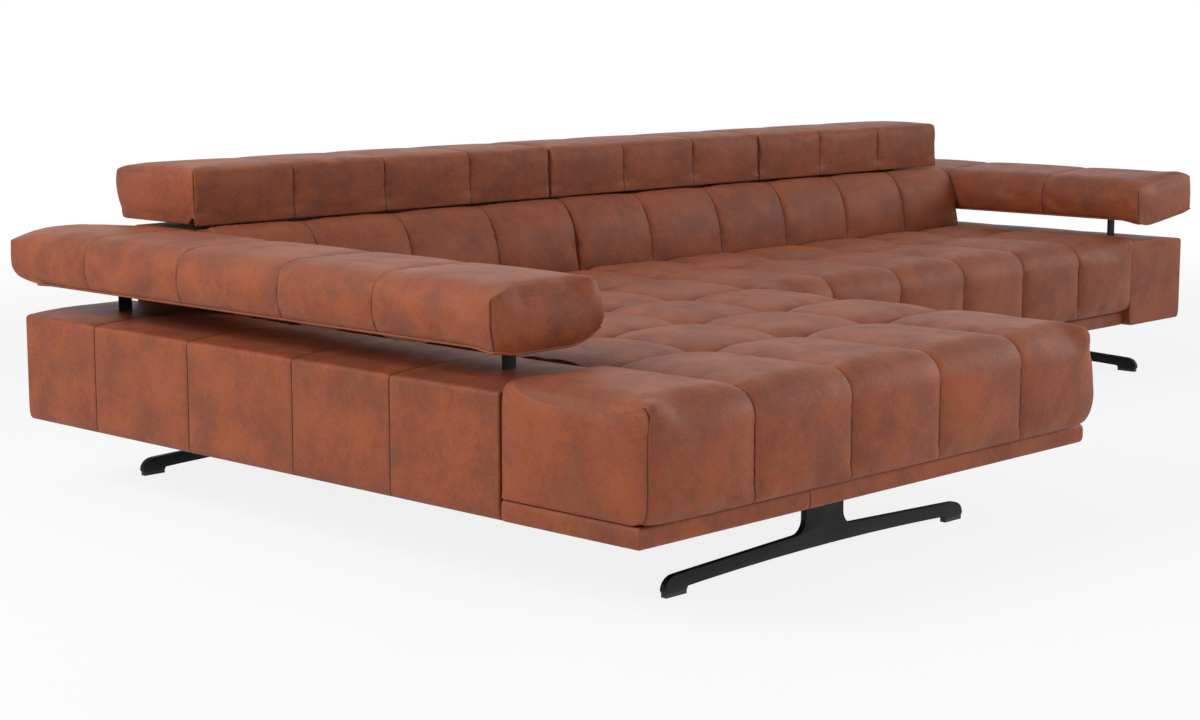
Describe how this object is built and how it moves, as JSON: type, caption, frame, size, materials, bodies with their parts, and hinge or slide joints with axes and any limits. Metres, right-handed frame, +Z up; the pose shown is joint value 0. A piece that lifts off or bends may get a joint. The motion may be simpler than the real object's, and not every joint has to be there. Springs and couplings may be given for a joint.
{
  "type": "sofa",
  "caption": "L-shaped leather sofa with a chaise, square-panel tufting, pillow arms on flat posts, folding headrests and black cast sled legs",
  "frame": {"origin": "on the floor under the middle of the sofa's outline seen from above", "axes": "+X along the back from the chaise arm to the far arm, as seen by someone who faces the sofa; -Y is the front, where one sits down; +Z up"},
  "size_m": [3.496, 2.017, 0.744],
  "materials": {
    "leather": "brown semi-aniline leather, mottled and finely grained, with a soft sheen",
    "black_metal": "satin black powder coat",
    "steel": "zinc-plated steel",
    "glide_plastic": "black moulded plastic",
    "frame_wood": "sawn softwood and plywood, hidden inside",
    "black_cloth": "black woven polypropylene"
  },
  "bodies": {
    "root": {"chaise_side_rails": "frame_wood", "chaise_cross_rails": "frame_wood", "chaise_front_plinth": "leather", "chaise_side_plinths": "leather", "chaise_under_cover": "black_cloth", "chaise_webbing": "black_cloth", "chaise_seat_cushion": "leather", "chaise_corner_cushion": "leather", "chaise_arm_base": "leather", "chaise_arm_rails": "frame_wood", "chaise_arm_posts": "black_metal", "chaise_arm_cushion": "leather", "chaise_back_stiles": "frame_wood", "chaise_back_top_rail": "frame_wood", "chaise_back_shell": "leather", "chaise_back_cushion": "leather", "chaise_front_leg": "black_metal", "chaise_rear_leg": "black_metal", "chaise_leg_bolts": "steel", "chaise_leg_glides": "glide_plastic", "main_side_rails": "frame_wood", "main_cross_rails": "frame_wood", "main_leg_board": "frame_wood", "main_front_plinth": "leather", "main_under_cover": "black_cloth", "main_webbing": "black_cloth", "main_seat_cushion": "leather", "main_arm_base": "leather", "main_arm_rails": "frame_wood", "main_arm_posts": "black_metal", "main_arm_cushion": "leather", "main_back_stiles": "frame_wood", "main_back_top_rail": "frame_wood", "main_back_shell": "leather", "main_back_cushion": "leather", "main_inner_leg": "black_metal", "main_end_leg": "black_metal", "main_leg_bolts": "steel", "main_leg_glides": "glide_plastic", "unit_hook_plates": "steel", "unit_eye_plates": "steel", "left_hinge_brackets": "black_metal", "middle_hinge_brackets": "black_metal", "right_hinge_brackets": "black_metal"},
    "left_headrest": {"left_headrest_cushion": "leather", "left_headrest_board": "black_cloth", "left_hinge_arms": "black_metal"},
    "middle_headrest": {"middle_headrest_cushion": "leather", "middle_headrest_board": "black_cloth", "middle_hinge_arms": "black_metal"},
    "right_headrest": {"right_headrest_cushion": "leather", "right_headrest_board": "black_cloth", "right_hinge_arms": "black_metal"}
  },
  "joints": [
    {"name": "left_headrest_hinge", "type": "hinge", "parent": "root", "child": "left_headrest", "pos_m": [-0.87, 0.6975, 0.614], "axis": [1, 0, 0], "range_deg": [0, 75]},
    {"name": "middle_headrest_hinge", "type": "hinge", "parent": "root", "child": "middle_headrest", "pos_m": [0.145, 0.6975, 0.614], "axis": [1, 0, 0], "range_deg": [0, 75]},
    {"name": "right_headrest_hinge", "type": "hinge", "parent": "root", "child": "right_headrest", "pos_m": [1.015, 0.6975, 0.614], "axis": [1, 0, 0], "range_deg": [0, 75]}
  ]
}
